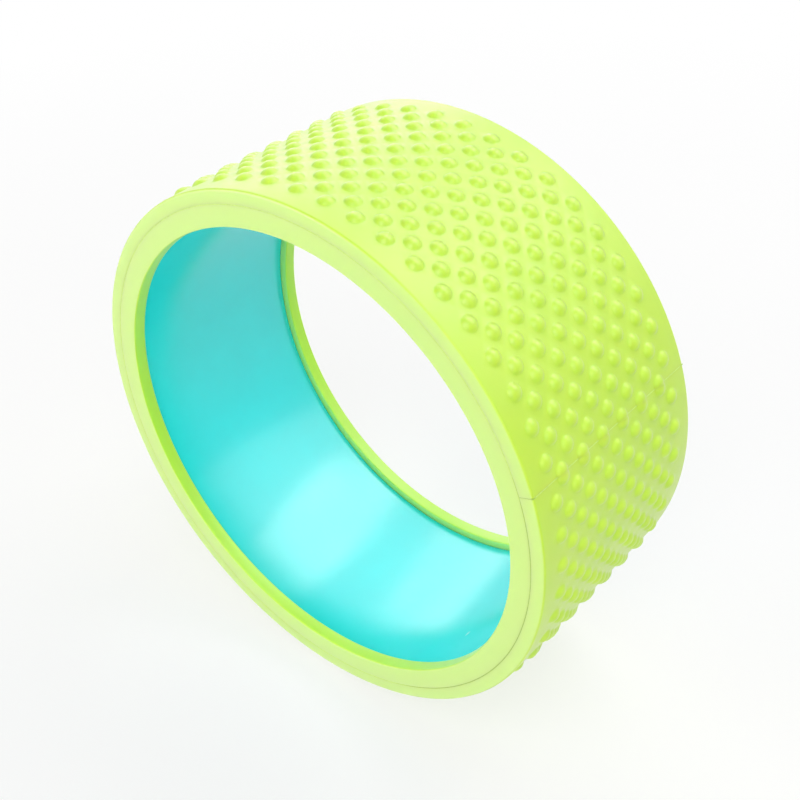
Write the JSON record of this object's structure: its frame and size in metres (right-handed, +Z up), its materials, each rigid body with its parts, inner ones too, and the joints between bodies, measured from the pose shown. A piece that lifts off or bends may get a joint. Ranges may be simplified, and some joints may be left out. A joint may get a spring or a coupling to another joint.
{
  "type": "yoga wheel",
  "caption": "Open cylindrical back-bending wheel: a rigid plastic hoop with soft foam rings over its ends and a dotted foam mat around the outside.",
  "frame": {"origin": "centre of the wheel, on its axis, midway between the two faces", "axes": "+Y along the wheel's axis, with the pictured face towards -Y; +Z up, as the wheel stands on its dotted tread; +X to the right of the pictured face"},
  "size_m": [0.33, 0.141, 0.33],
  "materials": {
    "hoop_plastic": "gloss",
    "ring_foam": "matte",
    "mat_foam": "matte",
    "glue": "satin"
  },
  "bodies": {
    "root": {"hoop": "hoop_plastic", "front_rim_ring": "ring_foam", "rear_rim_ring": "ring_foam", "massage_mat": "mat_foam", "mat_glue_film": "glue", "front_ring_glue": "glue", "rear_ring_glue": "glue", "butt_seam_glue": "glue"}
  },
  "joints": []
}
